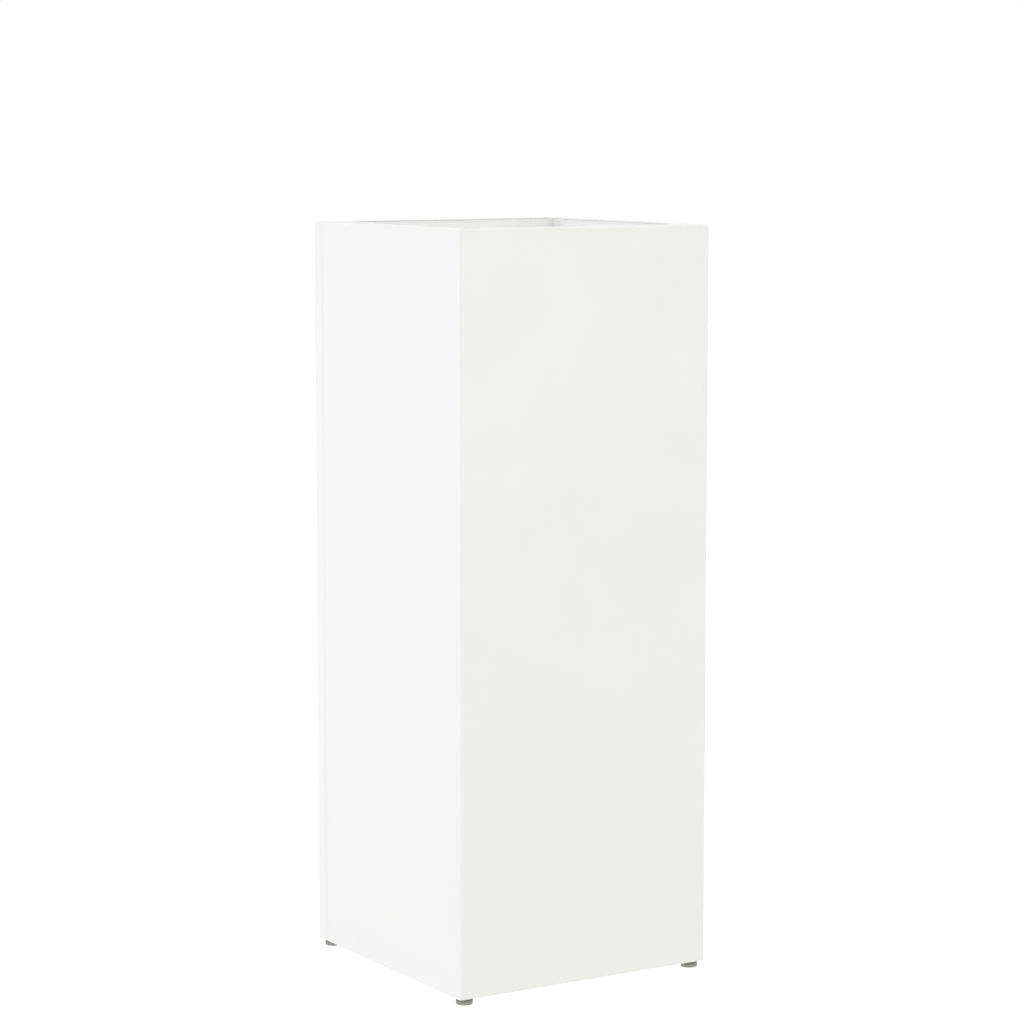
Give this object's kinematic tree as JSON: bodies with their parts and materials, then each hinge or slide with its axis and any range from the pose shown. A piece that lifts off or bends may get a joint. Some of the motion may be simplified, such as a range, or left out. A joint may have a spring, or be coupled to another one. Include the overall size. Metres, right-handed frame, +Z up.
{
  "type": "umbrella stand",
  "caption": "Tall square sheet-steel umbrella stand with an inward rim flange, a lapped back panel, a lift-out drip tray and levelling feet.",
  "frame": {"origin": "on the floor, under the middle of the column", "axes": "+Z up, -Y out of the front face, +X to the right as seen from the front"},
  "size_m": [0.25, 0.25, 0.65],
  "materials": {
    "white_powder_coat": "satin white powder coat",
    "zinc_steel": "bright zinc plating",
    "grey_foot_plastic": "matte moulded",
    "tray_plastic": "fine matte moulded"
  },
  "bodies": {
    "column": {"body_wrap": "white_powder_coat", "back_panel": "white_powder_coat", "base_pan": "white_powder_coat", "foot_nuts": "zinc_steel"},
    "tray": {"drip_tray": "tray_plastic"},
    "foot_front_left": {"foot_pad_front_left": "grey_foot_plastic", "foot_stud_front_left": "zinc_steel"},
    "foot_front_right": {"foot_pad_front_right": "grey_foot_plastic", "foot_stud_front_right": "zinc_steel"},
    "foot_back_left": {"foot_pad_back_left": "grey_foot_plastic", "foot_stud_back_left": "zinc_steel"},
    "foot_back_right": {"foot_pad_back_right": "grey_foot_plastic", "foot_stud_back_right": "zinc_steel"}
  },
  "joints": [
    {"name": "tray_lift", "type": "slide", "parent": "column", "child": "tray", "axis": [0, 0, 1], "range_m": [0, 0.66]},
    {"name": "level_front_left", "type": "slide", "parent": "column", "child": "foot_front_left", "axis": [0, 0, -1], "range_m": [0, 0.006]},
    {"name": "level_front_right", "type": "slide", "parent": "column", "child": "foot_front_right", "axis": [0, 0, -1], "range_m": [0, 0.006]},
    {"name": "level_back_left", "type": "slide", "parent": "column", "child": "foot_back_left", "axis": [0, 0, -1], "range_m": [0, 0.006]},
    {"name": "level_back_right", "type": "slide", "parent": "column", "child": "foot_back_right", "axis": [0, 0, -1], "range_m": [0, 0.006]}
  ]
}
